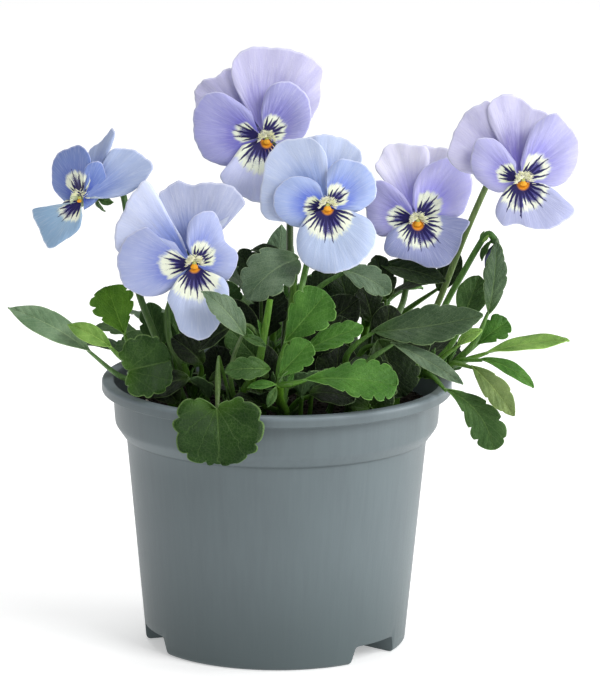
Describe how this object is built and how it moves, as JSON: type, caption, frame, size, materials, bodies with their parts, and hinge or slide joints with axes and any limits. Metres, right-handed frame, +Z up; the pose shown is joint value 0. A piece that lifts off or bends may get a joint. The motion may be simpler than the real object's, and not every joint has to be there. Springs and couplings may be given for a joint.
{
  "type": "potted horned violet",
  "caption": "Horned violet with pale blue and lilac whiskered blooms over crenate leaves, growing in soil in a round tapered nursery pot with notched feet.",
  "frame": {"origin": "centre of the pot's base, on the surface it stands on", "axes": "+Z up through the pot's axis; +Y away from the viewer of the picture; +X to the viewer's right"},
  "size_m": [0.1695, 0.1188, 0.1773],
  "materials": {
    "pot_plastic": "cool grey-blue moulded plastic, satin",
    "soil_peat": null,
    "leaf_green": null,
    "petal_lilac": null,
    "petal_blue": null,
    "eye_yellow": null,
    "bud_purple": null
  },
  "bodies": {
    "root": {"bloom_far_left": "petal_blue", "bloom_far_left_eye": "eye_yellow", "bloom_far_right": "petal_lilac", "bloom_far_right_eye": "eye_yellow", "bloom_front_left": "petal_blue", "bloom_front_left_eye": "eye_yellow", "bloom_middle": "petal_blue", "bloom_middle_eye": "eye_yellow", "bloom_right": "petal_lilac", "bloom_right_eye": "eye_yellow", "bloom_top": "petal_lilac", "bloom_top_eye": "eye_yellow", "bud_petals": "bud_purple", "leafy_stem_back": "leaf_green", "leafy_stem_back_left": "leaf_green", "leafy_stem_back_right": "leaf_green", "leafy_stem_centre": "leaf_green", "leafy_stem_front_left": "leaf_green", "leafy_stem_inner_left": "leaf_green", "leafy_stem_left": "leaf_green", "leafy_stem_middle": "leaf_green", "leafy_stem_outer_right": "leaf_green", "leafy_stem_right": "leaf_green", "pot": "pot_plastic", "soil": "soil_peat"}
  },
  "joints": []
}
